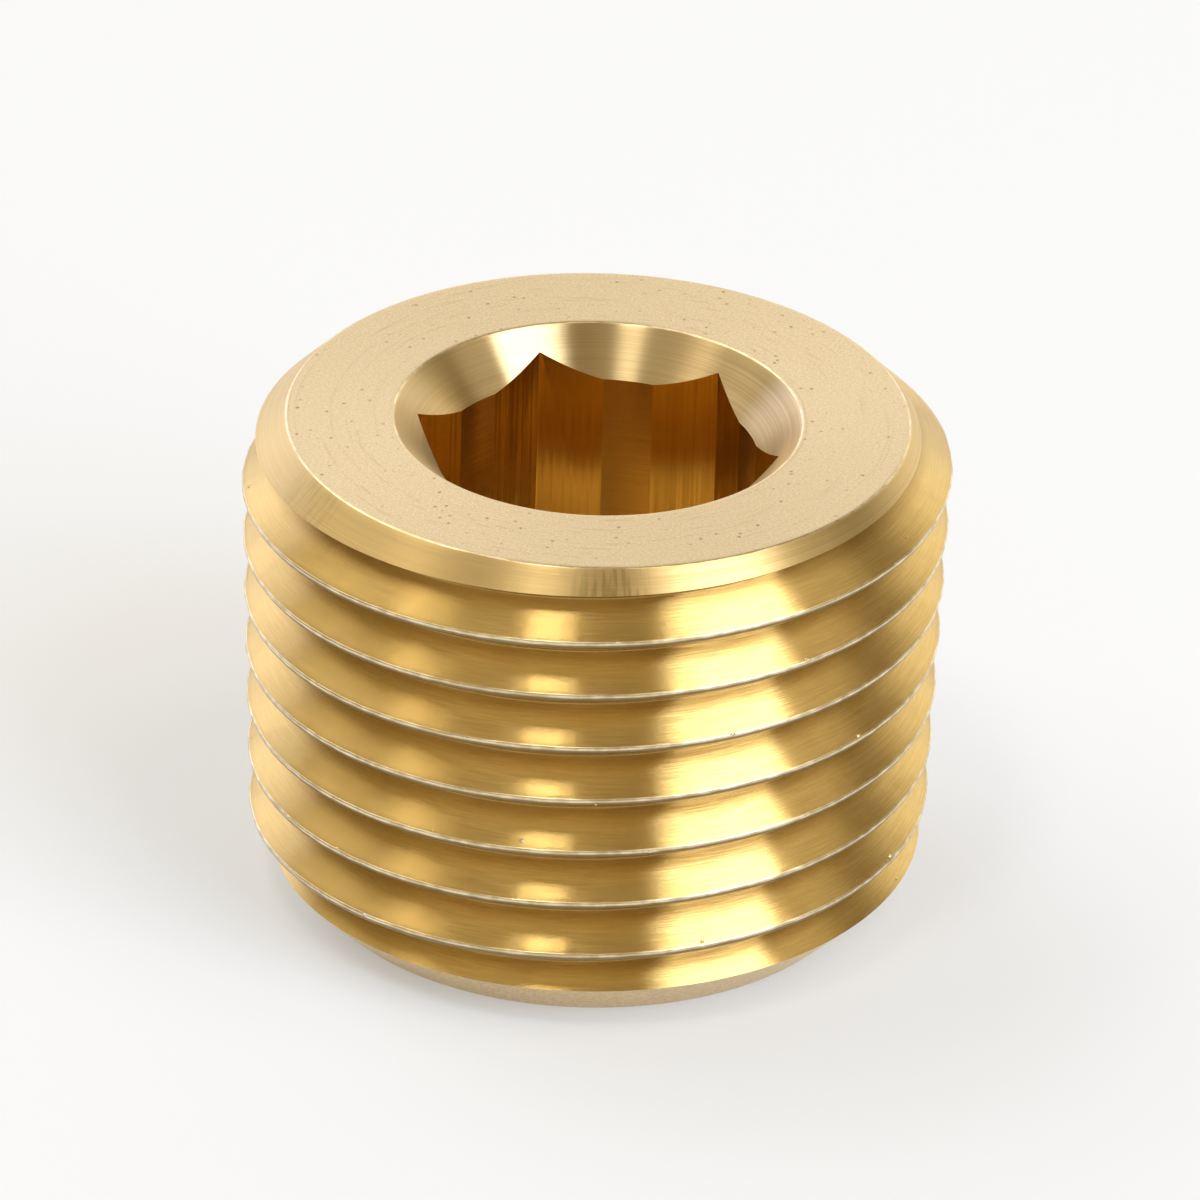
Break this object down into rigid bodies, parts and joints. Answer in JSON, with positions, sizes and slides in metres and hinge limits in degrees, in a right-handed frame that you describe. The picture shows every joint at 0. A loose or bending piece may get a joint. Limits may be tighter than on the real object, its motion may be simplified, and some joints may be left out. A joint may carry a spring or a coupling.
{
  "type": "countersunk plug",
  "caption": "Taper-threaded brass pipe plug with a countersunk hexagon socket in its large end, driven in flush to close a pipe or port.",
  "frame": {"origin": "middle of the small end face, on which the plug stands", "axes": "+Z along the axis of the thread, out of the socket; X through two opposite corners of the hexagon"},
  "size_m": [0.0215, 0.0214, 0.0157],
  "materials": {
    "brass": "as machined"
  },
  "bodies": {
    "root": {"plug": "brass"}
  },
  "joints": []
}
